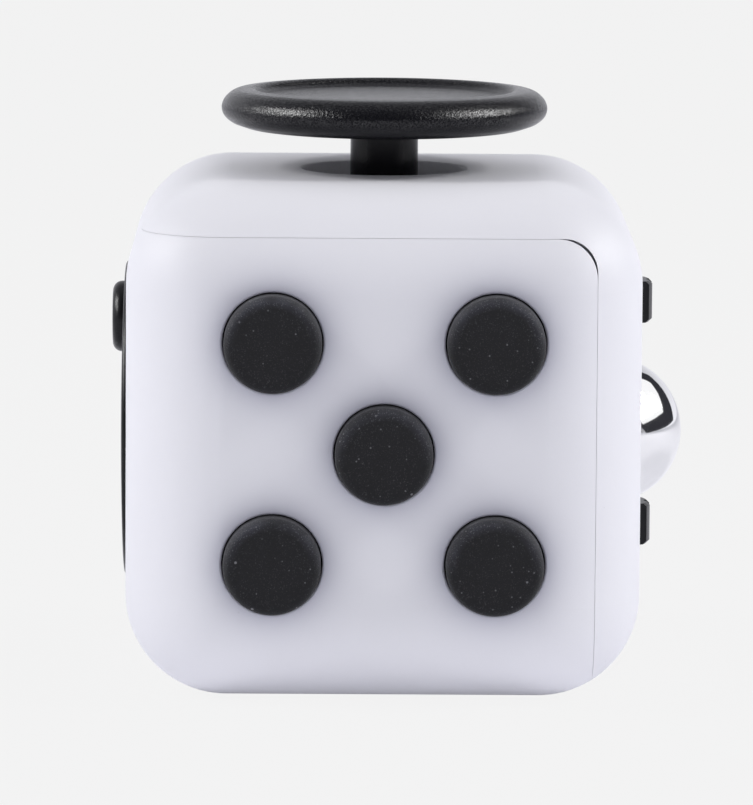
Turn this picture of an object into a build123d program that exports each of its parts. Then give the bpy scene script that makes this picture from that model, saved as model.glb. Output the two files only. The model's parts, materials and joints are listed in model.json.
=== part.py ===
"""Fidget cube: a hollow two-shell case with a different hand toy on each face.

The origin is the centre of the square the case stands on. +Z is up, the five
push buttons face -Y, the joystick is on top, the spin dial faces -X, the ball
and the ridged wheels face +X, the rocker faces +Y and the thumb dish is below.
All sizes are in millimetres. Heights on a face are measured from that face,
outwards, so anything inside the case has a negative height.
"""

from build123d import *
import math
import os

# Case
edge = 33.0
corner_round = 6.5
wall = 2.0
rear_band = 3.05
seam_gap = 0.02
seam_corner = 2.55
seam_corner_rear = 2.2
lip_length = 1.2
lip_depth = 1.1
lip_play = 0.05
hole_rim_round = 0.15
dish_radius = 8.4
dish_depth = 1.4
dish_rim_round = 3.0

# Fits
press_gap = 0.02
running_gap = 0.05
rest_gap = 0.05

# Screws of the inner modules
screw_head_radius = 1.0
screw_head_height = 0.7
screw_head_round = 0.2
screw_shank_radius = 0.6
screw_drive_radius = 0.45
screw_drive_depth = 0.35
boss_radius = 1.6

# Push buttons
button_pitch = 14.1
button_rise = -0.17
button_radius = 3.08
button_gap = 0.12
button_proud = 1.5
button_edge_round = 0.45
button_flange_radius = 3.8
button_flange = 0.7
button_post_radius = 1.1
backplate_gap = 2.9
backplate_side = 22.6
backplate_round = 4.0
backplate_thick = 1.0
backplate_boss_at = 9.5
backplate_bite = 2.2
snap_dome_radius = 2.5
snap_dome_height = 0.6
snap_dome_sheet = 0.12
soft_travel = 1.2
soft_post_room = 0.2
soft_dome_base = 3.1
soft_dome_top = 1.75
soft_dome_skin = 0.4

# Joystick
stick_hole_radius = 5.34
stick_pivot_depth = 9.0
disc_radius = 10.6
disc_under = 2.6
disc_widest = 3.9
disc_crest = 5.2
disc_crest_radius = 8.45
disc_floor = 4.7
disc_floor_radius = 7.2
disc_under_radius = 9.2
collar_radius = 2.2
stem_radius = 1.3
stem_top = 3.6
skirt_radius = 6.6
skirt_skin = 0.6
skirt_half_angle = 55.0
hub_radius = 2.6
hub_height = 3.2
gimbal_pin_radius = 0.65
tail_radius = 0.8
tail_length = 3.6
ring_inner = 4.2
ring_outer = 5.4
ring_height = 2.0
cup_inner = 6.8
cup_skin = 0.6
cup_floor = 2.0
cup_floor_thick = 0.8
cup_flange_gap = 1.0
cup_flange_thick = 1.0
cup_ear_at = 9.2
cup_ear_radius = 1.6
cup_bite = 2.0
spring_tube_inner = 3.4
spring_tube_depth = 4.8
spring_tube_floor = 0.7
spring_radius = 2.6
spring_wire = 0.22
spring_turns = 3.5

# Spin dial
dial_radius = 10.3
dial_gap = 0.15
dial_recess = 0.8
dial_float = 0.1
dial_proud = 0.28
dial_crown = 0.23
dial_edge_round = 0.25
dial_boss_radius = 2.31
dial_boss_at = 6.67
dial_boss_height = 0.85
dial_boss_round = 0.6
dial_hub_radius = 2.5
dial_bush_skin = 0.65
dial_pad_radius = 4.5
dial_pad_height = 1.5
dial_washer_radius = 4.0
dial_washer_thick = 0.5
dial_screw_head = 1.9
dial_screw_head_height = 1.0
dial_screw_shank = 0.8
dial_screw_bite = 2.4

# Roller ball and ridged wheels
roll_module_rise = -0.17
ball_radius = 4.75
ball_out = 2.87
ball_web = 0.65
ball_gap = 0.1
ball_travel = 0.5
ball_seat_gap = 0.08
ball_cup_skin = 0.2
ball_cup_back = 0.8
ball_cup_mouth = 3.5
ball_housing_skin = 0.4
ball_housing_floor = 0.8
ball_dome_radius = 2.5
ball_dome_sheet = 0.12
ball_ear_step = 1.5
ball_ear_radius = 1.5
ball_ear_thick = 1.0
ball_bite = 1.2
gear_radius = 4.0
gear_thick = 2.75
gear_out = 1.37
gear_at = 6.4
gear_pitch = 7.4
gear_teeth = 12
gear_groove_radius = 0.6
gear_groove_depth = 0.45
gear_chamfer = 0.22
gear_slot_gap = 0.2
gear_hub_radius = 1.25
gear_axle_radius = 0.75
cradle_ear_thick = 1.2
cradle_end_thick = 1.0
cradle_ear_radius = 1.4
cradle_back_gap = 0.8
cradle_plate = 0.8
cradle_side_gap = 0.35
cradle_lug_at = 5.5
cradle_lug_half = 1.6
cradle_lug_reach = 2.25
cradle_screw_out = 1.05
cradle_lug_back = 2.0
cradle_bite = 2.0
cradle_post_radius = 1.1
cradle_post_reach = 3.0
click_leaf_sheet = 0.2
click_leaf_width = 2.0
click_nub_radius = 0.35
click_nub_height = 1.6
click_nub_depth = 0.2

# Rocker
rocker_tilt = 9.0
rocker_pivot_depth = 3.3
rocker_rise = 0.5
rocker_width = 8.0
rocker_end_radius = 7.4
rocker_under = 1.9
rocker_gap = 0.2
rocker_edge_round = 0.25
rocker_hub_radius = 1.5
rocker_leg = 1.95
rocker_leg_radius = 0.5
rocker_pin_radius = 0.6
rocker_floor = 3.0
rocker_floor_thick = 1.0
rocker_side_wall = 0.9
rocker_ear_at = 6.7
rocker_ear_radius = 1.5
rocker_ear_thick = 1.0
rocker_bite = 1.2
rocker_leaf_sheet = 0.2
rocker_leaf_width = 3.0
rocker_leaf_half = 5.0
rocker_leaf_ridge = 0.25
rocker_leaf_ridge_half = 1.0

os.makedirs("parts", exist_ok=True)

half = edge / 2
front = Plane(origin=(0, -half, half), x_dir=(1, 0, 0), z_dir=(0, -1, 0))
left = Plane(origin=(-half, 0, half), x_dir=(0, -1, 0), z_dir=(-1, 0, 0))
right = Plane(origin=(half, 0, half), x_dir=(0, 1, 0), z_dir=(1, 0, 0))
back = Plane(origin=(0, half, half), x_dir=(-1, 0, 0), z_dir=(0, 1, 0))
top = Plane.XY.offset(edge)


def seat_on(face, across, up, height=0.0):
    """A plane parallel to a face, centred at a spot on it and at a height."""
    spot = face.from_local_coords(Vector(across, up, height))
    return Plane(origin=spot, x_dir=face.x_dir, z_dir=face.z_dir)


def facing_in(seat):
    """The same seat, looking into the case."""
    return Plane(origin=seat.origin, x_dir=seat.x_dir, z_dir=-seat.z_dir)


def turned(seat, outline):
    """A solid of revolution about a seat's normal, from (radius, height) points."""
    side = Plane(origin=seat.origin, x_dir=seat.x_dir, z_dir=-seat.y_dir)
    with BuildPart() as body:
        with BuildSketch(side):
            with BuildLine():
                Polyline(*outline, close=True)
            make_face()
        revolve(axis=Axis(seat.origin, seat.z_dir))
    return body.part


def drum(seat, radius, low, high):
    """A cylinder on a seat's normal between two heights."""
    with BuildPart() as body:
        with BuildSketch(seat.offset(low)):
            Circle(radius)
        extrude(amount=high - low)
    return body.part


def dome(seat, radius, height, sheet):
    """A shallow metal snap dome standing on a seat."""
    ball = (radius**2 + height**2) / (2 * height)
    with BuildPart() as body:
        with BuildSketch(seat):
            Circle(radius)
        extrude(amount=height)
        with Locations(seat.offset(height - ball)):
            Sphere(ball, mode=Mode.INTERSECT)
            Sphere(ball - sheet, mode=Mode.SUBTRACT)
    return body.part


def screw(seat, reach, head=None, head_height=None, shank=None):
    """A pan-head screw whose head stands on a seat, its shank reaching below."""
    head = head or screw_head_radius
    head_height = head_height or screw_head_height
    shank = shank or screw_shank_radius
    with BuildPart() as body:
        with BuildSketch(seat):
            Circle(head)
        extrude(amount=head_height)
        rim = body.edges().group_by(Axis(seat.origin, seat.z_dir))[-1]
        fillet(rim, radius=screw_head_round)
        with BuildSketch(seat):
            Circle(shank)
        extrude(amount=-reach)
        with BuildSketch(seat.offset(head_height)):
            RegularPolygon(radius=screw_drive_radius, side_count=6)
        extrude(amount=-screw_drive_depth, mode=Mode.SUBTRACT)
    return body.part


def rounded_block(inset):
    """The case's rounded block, moved in by the same amount on every side."""
    side = edge - 2 * inset
    with BuildPart(Plane.XY.offset(half)) as block:
        Box(side, side, side)
        fillet(block.edges(), radius=corner_round - inset)
    return block.part


def seam_block(shift, rounding):
    """All of space on the front shell's side of the seam, with rounded edges."""
    reach = half - rear_band + shift
    corner = (reach, reach, half + reach)
    with BuildPart(Plane(origin=corner)) as block:
        Box(2 * edge, 2 * edge, 2 * edge, align=(Align.MAX, Align.MAX, Align.MAX))
        fillet(block.edges().sort_by_distance(corner)[:3], radius=rounding)
    return block.part


def save(piece, name):
    """Label a finished piece and write it."""
    piece.label = name
    export_step(piece, f"parts/{name}.step")


# Places shared by pieces that fit each other
pitch = button_pitch / 2
button_spots = {
    "upper_left": (-pitch, button_rise + pitch),
    "upper_right": (pitch, button_rise + pitch),
    "centre": (0, button_rise),
    "lower_left": (-pitch, button_rise - pitch),
    "lower_right": (pitch, button_rise - pitch),
}
silent = ("upper_right", "lower_left")
button_hole = button_radius + button_gap
backplate_face = -wall - backplate_gap
backplate_back = backplate_face - backplate_thick
boss_at = backplate_boss_at
backplate_bosses = [(-boss_at, 0), (boss_at, 0), (0, -boss_at), (0, boss_at)]
pilot_radius = screw_shank_radius + press_gap
clear_radius = screw_shank_radius + running_gap

pivot_z = edge - stick_pivot_depth
pivot = Plane.XY.offset(pivot_z)
cup_outer = cup_inner + cup_skin
cup_top = stick_pivot_depth - wall
flange_top = cup_top - cup_flange_gap
ear_step = cup_ear_at / math.sqrt(2)
cup_ears = [(ear_step, ear_step), (-ear_step, ear_step)]
cup_ears += [(-ear_step, -ear_step), (ear_step, -ear_step)]

dial_pad_foot = -wall - dial_pad_height
dial_bush_radius = dial_hub_radius + running_gap + dial_bush_skin

ball_at = gear_at - gear_radius - gear_slot_gap - ball_web - ball_gap - ball_radius
ball_seat = seat_on(right, ball_at, roll_module_rise)
ball_height = ball_out - ball_radius
ball_centre = ball_seat.from_local_coords(Vector(0, 0, ball_height))
cup_back = ball_height - ball_radius - ball_seat_gap - ball_cup_back
ball_floor = cup_back - ball_travel - 2 * rest_gap
ball_cup_radius = ball_radius + ball_cup_skin
ball_bore = ball_cup_radius + running_gap
ball_outer = ball_bore + ball_housing_skin
ball_ear_at = ball_outer + ball_ear_step
ball_ears = ((0, ball_ear_at), (0, -ball_ear_at))

axle_x = half + gear_out - gear_radius
axle = Plane(origin=(axle_x, gear_at, half + roll_module_rise))
gear_rise = gear_thick / 2
slot_rise = gear_rise + gear_slot_gap
hub_rise = (gear_pitch - cradle_ear_thick) / 2 - gear_slot_gap + rest_gap
end_low = gear_pitch + slot_rise
end_high = end_low + cradle_end_thick
gear_levels = {"upper": gear_pitch, "middle": 0, "lower": -gear_pitch}
cradle_back = -gear_radius - cradle_back_gap
cradle_side = gear_radius + cradle_side_gap
lug_low = -cradle_lug_back - cradle_plate
lug_screw = cradle_side + cradle_plate + cradle_screw_out
lug_levels = (-cradle_lug_at, cradle_lug_at)

rocker_pivot = back.from_local_coords(Vector(0, 0, -rocker_pivot_depth))
rocker_level = Plane(origin=rocker_pivot, x_dir=(0, 1, 0), z_dir=(1, 0, 0))
lean = math.radians(rocker_tilt)
lean_dir = (0, math.cos(lean), math.sin(lean))
rocker_plane = Plane(origin=rocker_pivot, x_dir=lean_dir, z_dir=(1, 0, 0))
rocker_room = rocker_width / 2 + rocker_gap
rocker_sweep = rocker_end_radius + rocker_gap
rocker_outer = rocker_room + rocker_side_wall
rocker_length = rocker_sweep + rocker_side_wall
rocker_inside = rocker_pivot_depth - wall
rocker_ears = ((-rocker_ear_at, 0), (rocker_ear_at, 0))

cavity = rounded_block(wall)
outside = rounded_block(0)
lip_skin = rounded_block(lip_depth)
lip_fit = rounded_block(lip_depth + lip_play)
lip_room = lip_skin - seam_block(-lip_length, seam_corner)
lip = lip_fit - seam_block(-lip_length + lip_play, seam_corner)

# Front shell: the front, left and bottom walls
dish_ball = (dish_radius**2 + dish_depth**2) / (2 * dish_depth)
dish_centre = (0, 0, dish_depth - dish_ball)
dish_skin = Pos(*dish_centre) * Sphere(dish_ball + wall) & outside
dish_cut = Pos(*dish_centre) * Sphere(dish_ball)
dial_pad = drum(left, dial_pad_radius, dial_pad_foot, -dial_recess)

with BuildPart() as front_shell:
    add(outside)
    add(cavity, mode=Mode.SUBTRACT)
    add(seam_block(-seam_gap / 2, seam_corner), mode=Mode.INTERSECT)
    add(lip_room, mode=Mode.SUBTRACT)
    add(dish_skin)
    add(dish_cut, mode=Mode.SUBTRACT)
    dish_rim = front_shell.edges().filter_by(GeomType.CIRCLE).group_by(Axis.Z)[0]
    fillet(dish_rim.sort_by(SortBy.RADIUS)[-1], radius=dish_rim_round)
    add(dial_pad)
    with BuildSketch(left):
        Circle(dial_radius + dial_gap)
    extrude(amount=-dial_recess, mode=Mode.SUBTRACT)
    with BuildSketch(left):
        Circle(dial_bush_radius + press_gap)
    extrude(amount=dial_pad_foot, mode=Mode.SUBTRACT)
    with BuildSketch(front.offset(-wall / 2)):
        with Locations(*backplate_bosses):
            Circle(boss_radius)
    extrude(amount=backplate_face + wall / 2)
    with BuildSketch(front.offset(backplate_face)):
        with Locations(*backplate_bosses):
            Circle(pilot_radius)
    extrude(amount=backplate_bite, mode=Mode.SUBTRACT)
    with BuildSketch(front):
        with Locations(*button_spots.values()):
            Circle(button_hole)
    extrude(amount=-wall, mode=Mode.SUBTRACT)
    with BuildSketch(front.offset(-wall)):
        with Locations(*button_spots.values()):
            Circle(button_flange_radius + button_gap)
    extrude(amount=-backplate_gap, mode=Mode.SUBTRACT)
    rims = front_shell.edges().filter_by(GeomType.CIRCLE).group_by(Axis.Y)[0]
    fillet(rims, radius=hole_rim_round)
save(front_shell.part, "front_shell")

# Rear shell: the top, right and back walls
slot_cuts = [
    drum(axle, gear_radius + gear_slot_gap, level - slot_rise, level + slot_rise)
    for level in gear_levels.values()
]
axle_groove = drum(
    axle,
    cradle_ear_radius + gear_slot_gap,
    -end_high - gear_slot_gap,
    end_high + gear_slot_gap,
)
rocker_hole = rocker_level * Cylinder(rocker_sweep, 2 * rocker_room)

with BuildPart() as rear_shell:
    add(outside)
    add(seam_block(seam_gap / 2, seam_corner_rear), mode=Mode.SUBTRACT)
    add(lip)
    add(cavity, mode=Mode.SUBTRACT)
    with BuildSketch(pivot.offset(flange_top)):
        with Locations(*cup_ears):
            Circle(cup_ear_radius)
    extrude(amount=cup_flange_gap + wall / 2)
    with BuildSketch(pivot.offset(flange_top)):
        with Locations(*cup_ears):
            Circle(pilot_radius)
    extrude(amount=cup_bite, mode=Mode.SUBTRACT)
    with BuildSketch(top):
        Circle(stick_hole_radius)
    extrude(amount=-wall, mode=Mode.SUBTRACT)
    for level in lug_levels:
        lug_seat = Plane(axle.origin + Vector(-cradle_lug_back, lug_screw, level), z_dir=(1, 0, 0))
        with BuildSketch(lug_seat):
            Circle(cradle_post_radius)
        extrude(amount=cradle_post_reach)
    add(outside, mode=Mode.INTERSECT)
    for level in lug_levels:
        lug_seat = Plane(axle.origin + Vector(-cradle_lug_back, lug_screw, level), z_dir=(1, 0, 0))
        with BuildSketch(lug_seat):
            Circle(pilot_radius)
        extrude(amount=cradle_bite, mode=Mode.SUBTRACT)
    add(slot_cuts, mode=Mode.SUBTRACT)
    add(axle_groove, mode=Mode.SUBTRACT)
    with Locations(ball_centre):
        Sphere(ball_radius + ball_gap, mode=Mode.SUBTRACT)
    with BuildSketch(ball_seat.offset(-wall)):
        with Locations(*ball_ears):
            Circle(pilot_radius)
    extrude(amount=ball_bite, mode=Mode.SUBTRACT)
    with BuildSketch(back.offset(-wall)):
        with Locations(*rocker_ears):
            Circle(pilot_radius)
    extrude(amount=rocker_bite, mode=Mode.SUBTRACT)
    add(rocker_hole, mode=Mode.SUBTRACT)
    rim = rear_shell.edges().filter_by(GeomType.CIRCLE).group_by(Axis.Z)[-1]
    fillet(rim, radius=hole_rim_round)
save(rear_shell.part, "rear_shell")

# Push buttons, each on a metal snap dome or a soft silent dome
flange_high = -wall - rest_gap
flange_low = flange_high - button_flange
snap_post_end = backplate_face + snap_dome_height + rest_gap
soft_post_end = backplate_face + soft_travel + soft_post_room
for name, spot in button_spots.items():
    seat = seat_on(front, *spot)
    post_end = soft_post_end if name in silent else snap_post_end
    outline = [
        (0, button_proud),
        (button_radius, button_proud),
        (button_radius, flange_high),
        (button_flange_radius, flange_high),
        (button_flange_radius, flange_low),
        (button_post_radius, flange_low),
        (button_post_radius, post_end),
        (0, post_end),
    ]
    button_body = turned(seat, outline)
    with BuildPart() as button:
        add(button_body)
        fillet(button.edges().group_by(Axis.Y)[0], radius=button_edge_round)
    save(button.part, f"button_{name}")
    foot = seat.offset(backplate_face)
    if name in silent:
        rise = flange_low - rest_gap - backplate_face
        skin = soft_dome_skin
        soft_outline = [
            (soft_dome_base, 0),
            (soft_dome_base, skin),
            (soft_dome_top, rise),
            (soft_dome_top - skin, rise),
            (soft_dome_base - 1.5 * skin, 0),
        ]
        save(turned(foot, soft_outline), f"soft_dome_{name}")
    else:
        snap = dome(foot, snap_dome_radius, snap_dome_height, snap_dome_sheet)
        save(snap, f"snap_dome_{name}")

with BuildPart() as button_backplate:
    with BuildSketch(front.offset(backplate_back)):
        RectangleRounded(backplate_side, backplate_side, backplate_round)
        with Locations(*backplate_bosses):
            Circle(clear_radius, mode=Mode.SUBTRACT)
    extrude(amount=backplate_thick)
save(button_backplate.part, "button_backplate")

backplate_reach = backplate_thick + backplate_bite - rest_gap
screws = [
    screw(facing_in(seat_on(front, across, up, backplate_back)), backplate_reach)
    for across, up in backplate_bosses
]
with BuildPart() as backplate_screws:
    add(screws)
save(backplate_screws.part, "backplate_screws")

# Joystick: heights here are measured from the pivot
under = stick_pivot_depth + disc_under
widest = stick_pivot_depth + disc_widest
crest = stick_pivot_depth + disc_crest
floor = stick_pivot_depth + disc_floor
stem_end = stick_pivot_depth + stem_top
turn_plane = Plane(origin=pivot.origin, x_dir=(1, 0, 0), z_dir=(0, -1, 0))
with BuildPart() as joystick_cap:
    with BuildSketch(turn_plane):
        with BuildLine():
            Polyline((0, skirt_radius), (collar_radius, skirt_radius), (collar_radius, under))
            Line((collar_radius, under), (disc_under_radius, under))
            Spline(
                (disc_under_radius, under),
                (disc_radius, widest),
                (disc_crest_radius, crest),
                tangents=[(1, 0), (-1, 0)],
            )
            Spline(
                (disc_crest_radius, crest),
                (disc_floor_radius, floor),
                tangents=[(-1, 0), (-1, -0.12)],
            )
            Polyline((disc_floor_radius, floor), (0, floor), (0, skirt_radius))
        make_face()
    revolve(axis=Axis(pivot.origin, (0, 0, 1)))
    with BuildSketch(pivot.offset(skirt_radius)):
        Circle(stem_radius + press_gap)
    extrude(amount=stem_end - skirt_radius, mode=Mode.SUBTRACT)
save(joystick_cap.part, "joystick_cap")

hub_pin_plane = Plane(origin=pivot.origin, x_dir=(1, 0, 0), z_dir=(0, 1, 0))
ring_pin_plane = Plane(origin=pivot.origin, x_dir=(0, 1, 0), z_dir=(1, 0, 0))
with BuildPart() as joystick_stem:
    with BuildSketch(pivot.offset(-tail_length)):
        Circle(tail_radius)
    extrude(amount=tail_length)
    with BuildSketch(pivot.offset(-hub_height / 2)):
        Circle(hub_radius)
    extrude(amount=hub_height)
    with BuildSketch(pivot):
        Circle(stem_radius)
    extrude(amount=stem_end)
    with BuildSketch(hub_pin_plane):
        Circle(gimbal_pin_radius)
    extrude(amount=ring_outer - rest_gap, both=True)
save(joystick_stem.part, "joystick_stem")

skirt_cone_radius = 2 * skirt_radius * math.tan(math.radians(skirt_half_angle))
with BuildPart(pivot) as joystick_skirt:
    Cone(0, skirt_cone_radius, 2 * skirt_radius, align=(Align.CENTER, Align.CENTER, Align.MIN))
    Sphere(skirt_radius, mode=Mode.INTERSECT)
    Sphere(skirt_radius - skirt_skin, mode=Mode.SUBTRACT)
    with BuildSketch(pivot):
        Circle(stem_radius + press_gap)
    extrude(amount=skirt_radius, mode=Mode.SUBTRACT)
save(joystick_skirt.part, "joystick_skirt")

with BuildPart() as gimbal_ring:
    with BuildSketch(ring_pin_plane):
        Circle(gimbal_pin_radius)
    extrude(amount=cup_outer - rest_gap, both=True)
    with BuildSketch(pivot.offset(-ring_height / 2)):
        Circle(ring_outer)
    extrude(amount=ring_height)
    with BuildSketch(pivot.offset(-ring_height / 2)):
        Circle(ring_inner)
    extrude(amount=ring_height, mode=Mode.SUBTRACT)
    with BuildSketch(hub_pin_plane):
        Circle(gimbal_pin_radius + running_gap)
    extrude(amount=ring_outer, both=True, mode=Mode.SUBTRACT)
save(gimbal_ring.part, "gimbal_ring")

tube_outer = spring_tube_inner + cup_skin
tube_low = -spring_tube_depth - spring_tube_floor
cup_outline = [
    (0, tube_low),
    (tube_outer, tube_low),
    (tube_outer, -cup_floor - cup_floor_thick),
    (cup_outer, -cup_floor - cup_floor_thick),
    (cup_outer, cup_top),
    (cup_inner, cup_top),
    (cup_inner, -cup_floor),
    (spring_tube_inner, -cup_floor),
    (spring_tube_inner, -spring_tube_depth),
    (0, -spring_tube_depth),
]
cup_body = turned(pivot, cup_outline)
with BuildPart() as joystick_housing:
    with BuildSketch(pivot.offset(flange_top - cup_flange_thick)):
        with Locations(*cup_ears):
            Circle(cup_ear_radius)
        for turn in (45, 135):
            with Locations((0, 0)):
                Rectangle(2 * cup_ear_at, 2 * cup_ear_radius, rotation=turn)
        Circle(cup_outer)
        Circle(cup_inner, mode=Mode.SUBTRACT)
        with Locations(*cup_ears):
            Circle(clear_radius, mode=Mode.SUBTRACT)
    extrude(amount=cup_flange_thick)
    add(cup_body)
    with BuildSketch(ring_pin_plane):
        Circle(gimbal_pin_radius + running_gap)
    extrude(amount=cup_outer, both=True, mode=Mode.SUBTRACT)
save(joystick_housing.part, "joystick_housing")

flange_low_at = flange_top - cup_flange_thick
cup_reach = cup_flange_thick + cup_bite - rest_gap
screws = [
    screw(facing_in(seat_on(pivot, across, up, flange_low_at)), cup_reach)
    for across, up in cup_ears
]
with BuildPart() as joystick_screws:
    add(screws)
save(joystick_screws.part, "joystick_screws")

spring_low = -spring_tube_depth + spring_wire + rest_gap
spring_high = -hub_height / 2 - spring_wire - rest_gap
spring_rise = spring_high - spring_low
spring_foot = pivot.offset(spring_low)
with BuildPart() as joystick_spring:
    with BuildLine(spring_foot) as coil:
        Helix(pitch=spring_rise / spring_turns, height=spring_rise, radius=spring_radius)
    with BuildSketch(Plane(origin=coil.line @ 0, z_dir=coil.line % 0)):
        Circle(spring_wire)
    sweep(path=coil.line, is_frenet=True)
save(joystick_spring.part, "joystick_spring")

# Spin dial: heights are measured from the left face
dial_low = -dial_recess + dial_float
dial_hub_end = dial_pad_foot - dial_float
dial_side = Plane(origin=left.origin, x_dir=left.x_dir, z_dir=-left.y_dir)
crown_top = dial_proud + dial_crown
crown_ball = (dial_radius**2 + dial_crown**2) / (2 * dial_crown)
crown_turn = math.asin(dial_radius / crown_ball) / 2
crown_drop = crown_ball * (1 - math.cos(crown_turn))
crown_middle = (crown_ball * math.sin(crown_turn), crown_top - crown_drop)
with BuildPart() as dial_disc:
    with BuildSketch(dial_side):
        with BuildLine():
            Polyline((0, crown_top), (0, dial_low), (dial_radius, dial_low))
            Line((dial_radius, dial_low), (dial_radius, dial_proud))
            ThreePointArc((dial_radius, dial_proud), crown_middle, (0, crown_top))
        make_face()
    revolve(axis=Axis(left.origin, left.z_dir))
    rim = dial_disc.edges().filter_by(lambda e: e.is_closed).group_by(Axis.X)[0]
    fillet(rim, radius=dial_edge_round)
    with BuildSketch(left.offset(dial_low)):
        with Locations((0, dial_boss_at)):
            Circle(dial_boss_radius)
    extrude(amount=dial_proud + dial_boss_height - dial_low)
    fillet(dial_disc.edges().group_by(Axis.X)[0], radius=dial_boss_round)
    with BuildSketch(left.offset(dial_hub_end)):
        Circle(dial_hub_radius)
    extrude(amount=dial_low - dial_hub_end)
    with BuildSketch(left.offset(dial_hub_end)):
        Circle(dial_screw_shank + press_gap)
    extrude(amount=dial_screw_bite, mode=Mode.SUBTRACT)
save(dial_disc.part, "dial_disc")

with BuildPart() as dial_bush:
    with BuildSketch(left.offset(dial_pad_foot)):
        Circle(dial_bush_radius)
        Circle(dial_hub_radius + running_gap, mode=Mode.SUBTRACT)
    extrude(amount=-dial_recess - dial_pad_foot)
save(dial_bush.part, "dial_bush")

with BuildPart() as dial_washer:
    with BuildSketch(left.offset(dial_hub_end - dial_washer_thick)):
        Circle(dial_washer_radius)
        Circle(dial_screw_shank + press_gap, mode=Mode.SUBTRACT)
    extrude(amount=dial_washer_thick)
save(dial_washer.part, "dial_washer")

dial_screw_seat = facing_in(left.offset(dial_hub_end - dial_washer_thick))
dial_screw_reach = dial_washer_thick + dial_screw_bite - rest_gap
dial_screw = screw(
    dial_screw_seat,
    dial_screw_reach,
    dial_screw_head,
    dial_screw_head_height,
    dial_screw_shank,
)
save(dial_screw, "dial_screw")

# Roller ball: heights are measured from the right face
with BuildPart() as roller_ball:
    with Locations(ball_centre):
        Sphere(ball_radius)
save(roller_ball.part, "roller_ball")

with BuildPart() as ball_cup:
    with BuildSketch(ball_seat.offset(cup_back)):
        Circle(ball_cup_radius)
    extrude(amount=-ball_cup_mouth - cup_back)
    with Locations(ball_centre):
        Sphere(ball_radius + ball_seat_gap, mode=Mode.SUBTRACT)
save(ball_cup.part, "ball_cup")

dome_height = cup_back - rest_gap - ball_floor
dome_foot = ball_seat.offset(ball_floor)
ball_dome = dome(dome_foot, ball_dome_radius, dome_height, ball_dome_sheet)
save(ball_dome, "ball_dome")

with BuildPart() as ball_housing:
    with BuildSketch(ball_seat.offset(-wall - ball_ear_thick)):
        with Locations(*ball_ears):
            Circle(ball_ear_radius)
        Rectangle(2 * ball_ear_radius, 2 * ball_ear_at)
        with Locations(*ball_ears):
            Circle(clear_radius, mode=Mode.SUBTRACT)
    extrude(amount=ball_ear_thick)
    with BuildSketch(ball_seat.offset(ball_floor - ball_housing_floor)):
        Circle(ball_outer)
    extrude(amount=-wall - ball_floor + ball_housing_floor)
    with BuildSketch(ball_seat.offset(ball_floor)):
        Circle(ball_bore)
    extrude(amount=-wall - ball_floor, mode=Mode.SUBTRACT)
save(ball_housing.part, "ball_housing")

ball_reach = ball_ear_thick + ball_bite - rest_gap
screws = [
    screw(facing_in(seat_on(ball_seat, across, up, -wall - ball_ear_thick)), ball_reach)
    for across, up in ball_ears
]
with BuildPart() as ball_screws:
    add(screws)
save(ball_screws.part, "ball_screws")

# Ridged wheels on one upright axle, in a cradle behind the right wall
for name, level in gear_levels.items():
    seat = axle.offset(level)
    hub_high = gear_rise + rest_gap if name == "upper" else hub_rise
    hub_low = gear_rise + rest_gap if name == "lower" else hub_rise
    with BuildPart() as gear:
        with BuildSketch(seat.offset(-gear_rise)):
            Circle(gear_radius)
        extrude(amount=gear_thick)
        chamfer(gear.edges().filter_by(GeomType.CIRCLE), length=gear_chamfer)
        with BuildSketch(seat.offset(-gear_rise)):
            groove_at = gear_radius - gear_groove_depth + gear_groove_radius
            with PolarLocations(groove_at, gear_teeth):
                Circle(gear_groove_radius)
        extrude(amount=gear_thick, mode=Mode.SUBTRACT)
        with BuildSketch(seat.offset(-hub_low)):
            Circle(gear_hub_radius)
        extrude(amount=hub_low + hub_high)
        with BuildSketch(seat.offset(-hub_low)):
            Circle(gear_axle_radius + running_gap)
        extrude(amount=hub_low + hub_high, mode=Mode.SUBTRACT)
    save(gear.part, f"gear_{name}")

with BuildPart() as gear_axle:
    with BuildSketch(axle.offset(-end_high)):
        Circle(gear_axle_radius)
    extrude(amount=2 * end_high)
save(gear_axle.part, "gear_axle")

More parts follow.
